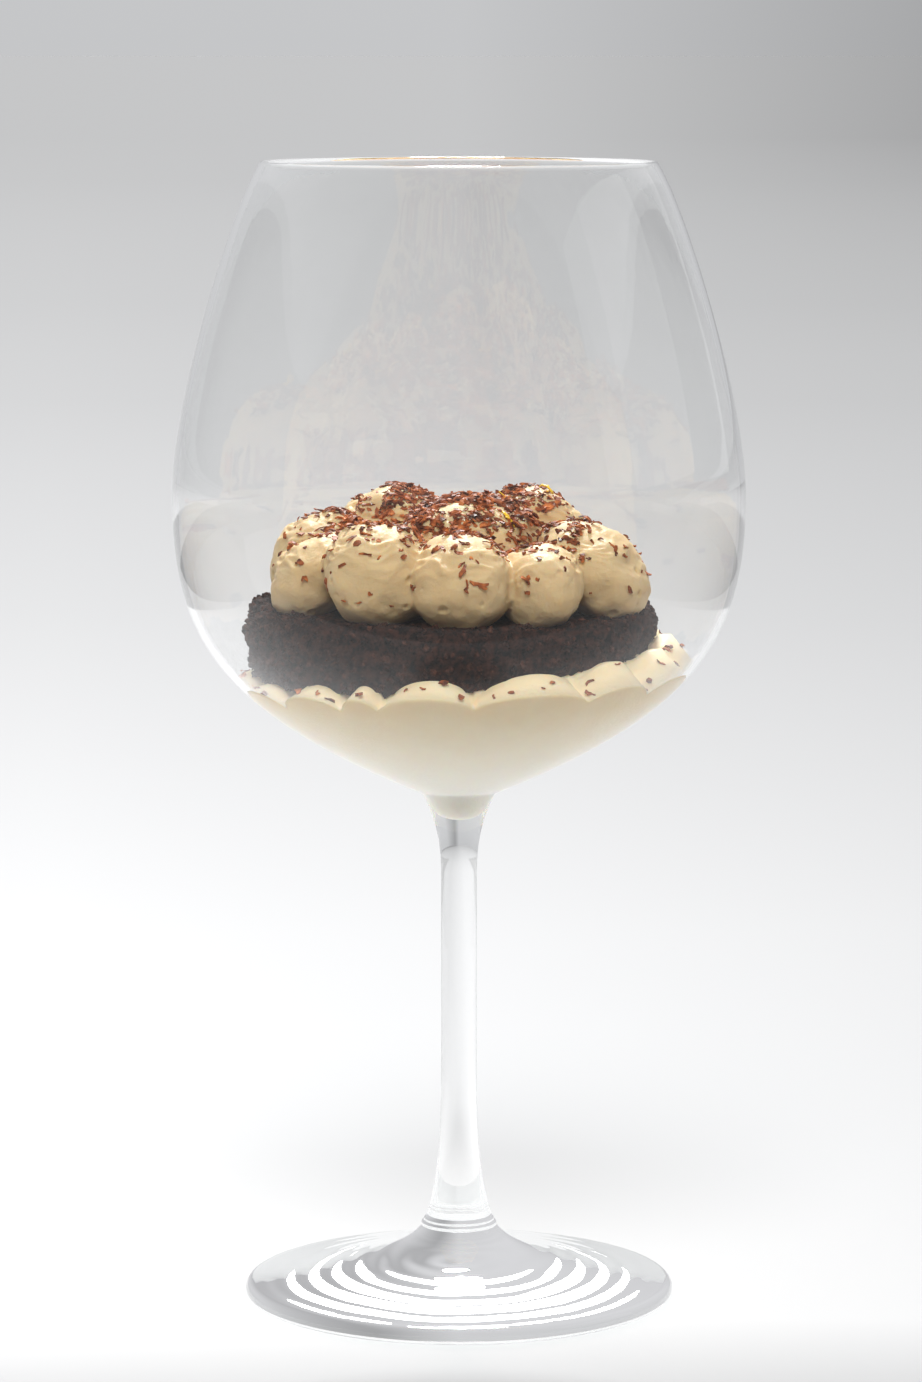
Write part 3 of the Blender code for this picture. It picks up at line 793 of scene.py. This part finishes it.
def crown_mesh(draw):
    """All the dollops grown together, then smeared and pitted."""
    form = bmesh.new()
    for index, sizes in enumerate(CROWN.values()):
        x, y, half_x, half_y, height, lean_x, lean_y = [size * MM for size in sizes]
        half_z = (height + DOLLOP_SINK) / 2
        middle = sponge_faces(x, y)[1] - DOLLOP_SINK + half_z
        add_dollop(form, (x, y, middle), (half_x, half_y, half_z), (lean_x, lean_y), index + 20)
    mesh = grown_together(form, CROWN_VOXEL)
    form = bmesh.new()
    form.from_mesh(mesh)
    form.normal_update()
    relief = [(vertex, vertex.normal * smears(vertex.co, vertex.normal.z)) for vertex in form.verts]
    for vertex, shift in relief:
        vertex.co += shift
    form.normal_update()
    pit_bubbles(form, draw)
    form.to_mesh(mesh)
    form.free()
    mesh.shade_smooth()
    return mesh


crown = crown_mesh(random.Random(17))
stand_in(
    "mousse_crown",
    crown,
    vanilla_mousse("mousse_crown", CROWN_CREAM_PAINTED_DEEPER, 1100.0, 0.0),
    "mousse_crown",
    "mousse_top",
)


# Chocolate shavings
# Plain dark chocolate shaved with a knife over the finished dessert: thin ragged flakes and
# curls, thick on the middle mound and in the creases, and a few on the lower mousse.
CROWN_FLAKES = 3200
SIDE_FLAKES = 100
BASE_FLAKES = 60
FLAKE_THICK = 0.2 * MM
CROWN_REACH = 37 * MM
CROWDED_WITHIN = 22 * MM
LOWER_RIM_MILLIMETRES = (40.4, 43.4)
# The brightest, orange tone is painted glow, for light shining through thin shavings from behind.
CHOCOLATE_TONES_AND_GLOW = (
    (0.36, (0.09, 0.024, 0.008)),
    (0.55, (0.36, 0.095, 0.026)),
    (0.74, (0.82, 0.28, 0.08)),
)


def surface_of(mesh):
    """A search tree over a mesh, for finding places on it."""
    form = bmesh.new()
    form.from_mesh(mesh)
    tree = BVHTree.FromBMesh(form)
    form.free()
    return tree


def add_flake(form, spot, up, draw, length, width, sections):
    """Adds one thin curled flake, ragged along both edges, lying near a surface."""
    heading = draw.uniform(0, math.tau)
    side = up.cross(Vector((math.cos(heading), math.sin(heading), 0.2))).normalized()
    along = side.cross(up).normalized()
    bend = draw.uniform(-1.2, 1.9)
    twist = draw.uniform(-0.9, 0.9)
    loops = []
    place = Vector((0.0, 0.0, 0.0))
    way = Matrix.Rotation(-bend / 2, 3, side) @ along
    turn = Matrix.Rotation(bend / (sections - 1), 3, side)
    for section in range(sections):
        share = section / (sections - 1)
        wide = width * (0.35 + 0.65 * math.sin(math.pi * (0.12 + 0.76 * share)))
        wide *= draw.uniform(0.45, 1.4)
        across = Matrix.Rotation(twist * (share - 0.5), 3, way) @ side
        over = across.cross(way).normalized() * FLAKE_THICK / 2
        edge = across * wide / 2
        middle = place + across * width * draw.uniform(-0.3, 0.3)
        corners = (-edge - over, edge - over, edge + over, -edge + over)
        loops.append([middle + corner for corner in corners])
        place = place + way * (length / (sections - 1))
        way = turn @ way
    centre = sum((sum(loop, Vector()) for loop in loops), Vector()) / (4 * sections)
    lowest = min((corner - centre).dot(up) for loop in loops for corner in loop)
    lift = spot - centre - up * (lowest + FLAKE_THICK * 0.6)
    rings = [[form.verts.new(corner + lift) for corner in loop] for loop in loops]
    for below, above in zip(rings, rings[1:]):
        for corner in range(4):
            after = (corner + 1) % 4
            form.faces.new((below[corner], below[after], above[after], above[corner]))
    form.faces.new(rings[0][::-1])
    form.faces.new(rings[-1])


def flake_size(draw):
    """Length and width of a shaving: mostly crumbs and slivers, now and then a long curl."""
    kind = draw.random()
    if kind < 0.4:
        return draw.uniform(0.7, 1.4) * MM, draw.uniform(0.4, 0.9) * MM
    if kind < 0.85:
        return draw.uniform(1.3, 2.6) * MM, draw.uniform(0.6, 1.2) * MM
    return draw.uniform(2.4, 3.8) * MM, draw.uniform(0.6, 1.2) * MM


def tilted(normal, draw, most):
    """A surface direction tipped at random, for a flake that stands up a little."""
    tip = Vector((draw.uniform(-most, most), draw.uniform(-most, most), draw.uniform(0, most)))
    return (normal + tip).normalized()


def crown_flakes(tree, draw):
    """Shavings on the crown: dropped from above, with a few stuck to its sides."""
    form = bmesh.new()
    fallen = 0
    while fallen < CROWN_FLAKES:
        reach = CROWN_REACH * math.sqrt(draw.random())
        angle = draw.uniform(0, math.tau)
        x, y = reach * math.cos(angle), reach * math.sin(angle)
        spot, normal, _, _ = tree.ray_cast(Vector((x, y, GLASS_HEIGHT)), Vector((0, 0, -1)))
        if spot is None or spot.z < SPONGE_TOP + 2 * MM:
            continue
        crowded = 0.065 + 1.4 * math.exp(-((reach / CROWDED_WITHIN) ** 4))
        clump = 0.75 + 1.1 * noise.noise(Vector((x, y, 0.4)) / (5 * MM))
        steep = max(normal.z, 0.0) ** 0.7
        if draw.random() > crowded * clump * steep:
            continue
        length, width = flake_size(draw)
        up = tilted(normal, draw, 0.75)
        add_flake(form, spot, up, draw, length, width, 5 if length > 1.3 * MM else 3)
        fallen += 1
    stuck = 0
    while stuck < SIDE_FLAKES:
        angle = draw.uniform(0, math.tau)
        height = SPONGE_TOP + 3 * MM + 15 * MM * draw.random() ** 0.6
        outside = Vector((60 * MM * math.cos(angle), 60 * MM * math.sin(angle), height))
        inward = Vector((-math.cos(angle), -math.sin(angle), 0.0))
        spot, normal, _, _ = tree.ray_cast(outside, inward)
        if spot is None:
            continue
        length, width = flake_size(draw)
        add_flake(form, spot, tilted(normal, draw, 0.3), draw, length * 0.8, width * 0.8, 4)
        stuck += 1
    mesh = bpy.data.meshes.new("crown_shavings")
    form.to_mesh(mesh)
    form.free()
    return mesh


def base_flakes(tree, draw):
    """The few shavings that fell past the sponge onto the lower mousse."""
    form = bmesh.new()
    for count in range(BASE_FLAKES):
        angle = math.tau * (count + draw.random()) / BASE_FLAKES
        reach = draw.uniform(*LOWER_RIM_MILLIMETRES) * MM
        above = Vector((reach * math.sin(angle), -reach * math.cos(angle), BELLY_HEIGHT))
        spot, normal, _, _ = tree.ray_cast(above, Vector((0, 0, -1)))
        if spot is None:
            continue
        length = draw.uniform(1.0, 2.4) * MM
        add_flake(form, spot, tilted(normal, draw, 0.6), draw, length, length * 0.5, 4)
    mesh = bpy.data.meshes.new("base_shavings")
    form.to_mesh(mesh)
    form.free()
    return mesh


def dark_chocolate():
    """Shaved dark chocolate: brown with a reddish cast, mottled with an orange painted glow of
    backlight.
    """
    material, nodes, links, shader = new_material("dark_chocolate")
    spot = nodes.new("ShaderNodeTexCoord").outputs["Object"]
    shade = mottled(nodes, links, spot, 520.0, 3.0)
    links.new(shaded(nodes, links, shade, CHOCOLATE_TONES_AND_GLOW), shader.inputs["Base Color"])
    links.new(carried(nodes, links, shade, 0.0, 1.0, 0.38, 0.62), shader.inputs["Roughness"])
    shader.inputs["Specular IOR Level"].default_value = 0.22
    cut = raised(nodes, links, shade, 0.4, 0.1 * MM)
    links.new(cut.outputs["Normal"], shader.inputs["Normal"])
    return material


chocolate = dark_chocolate()
crown_tree = surface_of(crown)
base_tree = surface_of(bpy.data.objects["lower_mousse"].data)
stand_in(
    "crown_shavings",
    crown_flakes(crown_tree, random.Random(71)),
    chocolate,
    "chocolate_shavings",
    "mousse_top",
)
stand_in(
    "base_shavings",
    base_flakes(base_tree, random.Random(72)),
    chocolate,
    "chocolate_shavings",
    "mousse_base",
)


# Citrus zest
# A few fine strands and bits of lemon and orange peel, grated last and lying loose between
# the shavings. Places in plan, in millimetres.
LEMON_STRANDS = ((-4.6, 5.0), (17.6, 18.0), (9.2, 3.0), (9.8, -8.0))
ORANGE_BITS = ((-6.3, -15.5), (1.2, 6.0), (-2.0, -3.0), (19.0, 6.0))
LEMON_LENGTH = 4.2 * MM
ORANGE_LENGTH = 1.8 * MM
ZEST_WIDTH = 0.62 * MM
LEMON_COLOURS = ((0.93, 0.62, 0.02), (0.80, 0.44, 0.01))
ORANGE_COLOURS = ((0.85, 0.28, 0.02), (0.70, 0.17, 0.01))


def zest_mesh(name, tree, places, draw, length):
    """Curled strands of peel lying on the shavings and the mousse."""
    form = bmesh.new()
    for x, y in places:
        for strand in range(2):
            start_x = (x + draw.uniform(-0.8, 0.8)) * MM
            start_y = (y + draw.uniform(-0.8, 0.8)) * MM
            above = Vector((start_x, start_y, GLASS_HEIGHT))
            spot, normal, _, _ = tree.ray_cast(above, Vector((0, 0, -1)))
            up = tilted(normal, draw, 0.5)
            share = 1 - 0.55 * strand
            add_flake(form, spot + normal * 0.3 * MM, up, draw, length * share, ZEST_WIDTH, 7)
    mesh = bpy.data.meshes.new(name)
    form.to_mesh(mesh)
    form.free()
    mesh.shade_smooth()
    return mesh


def citrus_peel(name, colours):
    """The coloured skin of a citrus fruit, oily and finely dimpled."""
    material, nodes, links, shader = new_material(name)
    bright, deep = colours
    spot = nodes.new("ShaderNodeTexCoord").outputs["Object"]
    dimples = mottled(nodes, links, spot, 900.0, 2.0)
    links.new(shaded(nodes, links, dimples, ((0.35, deep), (0.65, bright))), shader.inputs["Base Color"])
    skin = raised(nodes, links, dimples, 0.3, 0.1 * MM)
    links.new(skin.outputs["Normal"], shader.inputs["Normal"])
    shader.inputs["Roughness"].default_value = 0.38
    return material


stand_in(
    "lemon_zest",
    zest_mesh("lemon_zest", crown_tree, LEMON_STRANDS, random.Random(81), LEMON_LENGTH),
    citrus_peel("lemon_peel", LEMON_COLOURS),
    "citrus_zest",
    "mousse_top",
)
stand_in(
    "orange_zest",
    zest_mesh("orange_zest", crown_tree, ORANGE_BITS, random.Random(82), ORANGE_LENGTH),
    citrus_peel("orange_peel", ORANGE_COLOURS),
    "citrus_zest",
    "mousse_top",
)


# Table, light and camera
# A white table that runs far back into a pale grey room. One large soft light above and
# behind, a lamp in front and above, and a weak panel at the right light the dessert.
TABLE_HALF = 80.0
TABLE_DROP = 0.15 * MM
# Edges of a dark sheet that stands in for shade in front of and beside the glass; the table runs on
# under it.
SHADE_SHEET_FRONT = -0.21
SHADE_SHEET_SIDE = 0.38
SHADE_SHEET_SIDE_BACK = 0.9
# Painted falloff of light: the table's tone by distance behind the glass, in metres.
TABLE_FALLOFF_TONES = ((0.0, 0.56), (0.4, 0.57), (1.2, 0.505), (2.5, 0.445), (3.8, 0.42), (8.0, 0.395))
TABLE_CAST = (1.0, 1.003, 1.006)
# Painted shade on the table: darker in front of the glass and towards the right.
SHADE_IN_FRONT = (-0.13, -0.02, 0.48, 1.0)
NEAR_LEFT_TO_RIGHT = (1.06, 0.87)
FAR_LEFT_TO_RIGHT = (1.0, 0.60)
FAR_FROM_TO = (3.0, 12.0)
# Reach, lift and tones of the dark sheet that stands in for shade.
SHADE_SHEET_REACH = 5.0
SHADE_SHEET_LIFT = 1 * MM
SHADE_SHEET_FRONT_TONE = 0.08
SHADE_SHEET_SIDE_TONE = 0.19
ROOM_IN_FRONT = (0.25, 0.40, 0.40)
ROOM_BEHIND = (0.56, 0.60, 0.75)
ROOM_CAST = (1.0, 1.01, 1.03)
ROOM_CORNER = (0.0, 0.12, 1.0, 0.60)
ROOM_PAST_CORNER = (0.14, 0.4, 0.0, 0.36)
KEY_DIRECTION = (0.0, -0.68, -0.73)
KEY_STRENGTH = 4.1
KEY_SOFTNESS = 9.0
LAMPS_AIM = (0.0, 0.0, 0.14)
LAMP_FRONT = (-0.02, -0.8, 1.0)
LAMP_SIZE = (0.55, 0.55)
LAMP_POWER = 10.0
PANEL_RIGHT = (0.95, -0.1, 0.5)
PANEL_SIZE = (0.9, 0.6)
PANEL_POWER = 0.6
CAMERA_PLACE = (0.0004, -0.978, 0.2449)
CAMERA_PITCH = 7.30
CAMERA_LENS = 132.28


def tinged(tone, cast):
    """A grey with a slight cast."""
    return tuple(tone * share for share in cast)


def scaled(nodes, links, colour, factor):
    """A colour made lighter or darker by a factor."""
    node = nodes.new("ShaderNodeVectorMath")
    node.operation = "SCALE"
    links.new(colour, node.inputs[0])
    links.new(factor, node.inputs["Scale"])
    return node.outputs["Vector"]


def darker_to_the_right(nodes, links, apart, shade):
    """Painted shade that leaves a surface lighter at the left than at the right."""
    beyond = nodes.new("ShaderNodeMath")
    beyond.operation = "MAXIMUM"
    beyond.inputs[1].default_value = 0.0
    links.new(apart.outputs["Y"], beyond.inputs[0])
    away = nodes.new("ShaderNodeMath")
    away.inputs[1].default_value = 1.0
    links.new(beyond.outputs[0], away.inputs[0])
    aside = nodes.new("ShaderNodeMath")
    aside.operation = "DIVIDE"
    links.new(apart.outputs["X"], aside.inputs[0])
    links.new(away.outputs[0], aside.inputs[1])
    near = carried(nodes, links, aside.outputs[0], -0.08, 0.12, *NEAR_LEFT_TO_RIGHT)
    far = carried(nodes, links, aside.outputs[0], 0.0, 0.12, *FAR_LEFT_TO_RIGHT)
    factor = nodes.new("ShaderNodeMix")
    links.new(carried(nodes, links, apart.outputs["Y"], *FAR_FROM_TO, 0.0, 1.0), factor.inputs[0])
    links.new(near, factor.inputs[2])
    links.new(far, factor.inputs[3])
    return scaled(nodes, links, shade, factor.outputs[0])


def places_apart(nodes, links, output):
    """The three coordinates of a place, on the object or all round the room."""
    apart = nodes.new("ShaderNodeSeparateXYZ")
    links.new(nodes.new("ShaderNodeTexCoord").outputs[output], apart.inputs["Vector"])
    return apart


def table():
    """A wide matt table, near white round the glass; painted falloff greys it far behind."""
    mesh = bpy.data.meshes.new("table")
    reach = TABLE_HALF
    sides = [(-reach, -reach), (reach, -reach), (reach, reach), (-reach, reach)]
    mesh.from_pydata([(x, y, -TABLE_DROP) for x, y in sides], [], [(0, 1, 2, 3)])
    material, nodes, links, shader = new_material("white_table")
    apart = places_apart(nodes, links, "Object")
    farthest = TABLE_FALLOFF_TONES[-1][0]
    away = carried(nodes, links, apart.outputs["Y"], 0.0, farthest, 0.0, 1.0)
    stops = [(distance / farthest, tinged(tone, TABLE_CAST)) for distance, tone in TABLE_FALLOFF_TONES]
    # Painted falloff greys the table far back; painted shade darkens it to the right and in front.
    painted_falloff = darker_to_the_right(nodes, links, apart, shaded(nodes, links, away, stops))
    painted_shade_in_front = carried(nodes, links, apart.outputs["Y"], *SHADE_IN_FRONT)
    matt = nodes.new("ShaderNodeBsdfDiffuse")
    links.new(scaled(nodes, links, painted_falloff, painted_shade_in_front), matt.inputs["Color"])
    links.new(matt.outputs[0], nodes["Material Output"].inputs["Surface"])
    nodes.remove(shader)
    mesh.materials.append(material)
    piece = bpy.data.objects.new("table", mesh)
    bpy.context.scene.collection.objects.link(piece)


def shade_sheet():
    """A dark sheet in front and at the sides standing in for shade, dimming reflections and bounce."""
    mesh = bpy.data.meshes.new("shade_sheet")
    near, side, far, over = SHADE_SHEET_FRONT, SHADE_SHEET_SIDE, SHADE_SHEET_REACH, SHADE_SHEET_LIFT
    corners = []
    for left, right, front, back in (
        (-far, far, -far, near),
        (-far, -side, near, SHADE_SHEET_SIDE_BACK),
        (side, far, near, SHADE_SHEET_SIDE_BACK),
    ):
        corners += [(left, front, over), (right, front, over), (right, back, over), (left, back, over)]
    mesh.from_pydata(corners, [], [(0, 1, 2, 3), (4, 5, 6, 7), (8, 9, 10, 11)])
    material, nodes, links, shader = new_material("shade_sheet")
    shader.inputs["Roughness"].default_value = 0.9
    apart = places_apart(nodes, links, "Object")
    edge = (near - 10 * MM, near + 10 * MM, SHADE_SHEET_FRONT_TONE, SHADE_SHEET_SIDE_TONE)
    links.new(carried(nodes, links, apart.outputs["Y"], *edge), shader.inputs["Base Color"])
    mesh.materials.append(material)
    piece = bpy.data.objects.new("shade_sheet", mesh)
    bpy.context.scene.collection.objects.link(piece)
    piece.visible_camera = False
    piece.visible_transmission = False
    piece.visible_shadow = False


def room():
    """Pale grey walls at eye level: darker in front, and darkest in a corner at the right."""
    world = bpy.data.worlds.new("room")
    world.use_nodes = True
    nodes, links = world.node_tree.nodes, world.node_tree.links
    apart = places_apart(nodes, links, "Generated")
    round_room = nodes.new("ShaderNodeMix")
    round_room.data_type = "RGBA"
    behind = carried(nodes, links, apart.outputs["Y"], -0.1, 0.5, 0.0, 1.0)
    links.new(behind, round_room.inputs["Factor"])
    for socket, (low, middle, high) in ((6, ROOM_IN_FRONT), (7, ROOM_BEHIND)):
        stops = (
            (0.0, tinged(low, ROOM_CAST)),
            (0.12, tinged(middle, ROOM_CAST)),
            (0.9, tinged(high, (1.0, 1.0, ROOM_CAST[2]))),
        )
        links.new(shaded(nodes, links, apart.outputs["Z"], stops), round_room.inputs[socket])
    round_wall = nodes.new("ShaderNodeMath")
    links.new(carried(nodes, links, apart.outputs["X"], *ROOM_CORNER), round_wall.inputs[0])
    links.new(carried(nodes, links, apart.outputs["X"], *ROOM_PAST_CORNER), round_wall.inputs[1])
    tone = scaled(nodes, links, round_room.outputs[2], round_wall.outputs[0])
    links.new(tone, nodes["Background"].inputs["Color"])
    bpy.context.scene.world = world


def soft_lamp(name, place, size, power, mirrored):
    """A rectangular studio lamp aimed at the dessert, which may or may not mirror in the glass."""
    lamp = bpy.data.lights.new(name, "AREA")
    lamp.shape = "RECTANGLE"
    lamp.size, lamp.size_y = size
    lamp.energy = power
    holder = bpy.data.objects.new(name, lamp)
    holder.location = place
    holder.rotation_euler = (Vector(LAMPS_AIM) - Vector(place)).to_track_quat("-Z", "Y").to_euler()
    holder.visible_glossy = mirrored
    bpy.context.scene.collection.objects.link(holder)


def key_light():
    """The strong soft light from behind and above, even over the whole table."""
    lamp = bpy.data.lights.new("key_light", "SUN")
    lamp.energy = KEY_STRENGTH
    lamp.angle = math.radians(KEY_SOFTNESS)
    holder = bpy.data.objects.new("key_light", lamp)
    holder.rotation_euler = Vector(KEY_DIRECTION).to_track_quat("-Z", "Y").to_euler()
    bpy.context.scene.collection.objects.link(holder)


def camera():
    """A long lens just above the dessert, looking slightly down."""
    lens = bpy.data.cameras.new("camera")
    lens.lens = CAMERA_LENS
    lens.sensor_width = 36.0
    holder = bpy.data.objects.new("camera", lens)
    holder.location = CAMERA_PLACE
    holder.rotation_euler = (math.radians(90 - CAMERA_PITCH), 0.0, 0.0)
    bpy.context.scene.collection.objects.link(holder)
    bpy.context.scene.camera = holder


table()
shade_sheet()
room()
key_light()
soft_lamp("lamp_front", LAMP_FRONT, LAMP_SIZE, LAMP_POWER, False)
soft_lamp("panel_right", PANEL_RIGHT, PANEL_SIZE, PANEL_POWER, True)
camera()
bpy.context.scene.view_settings.view_transform = "Standard"
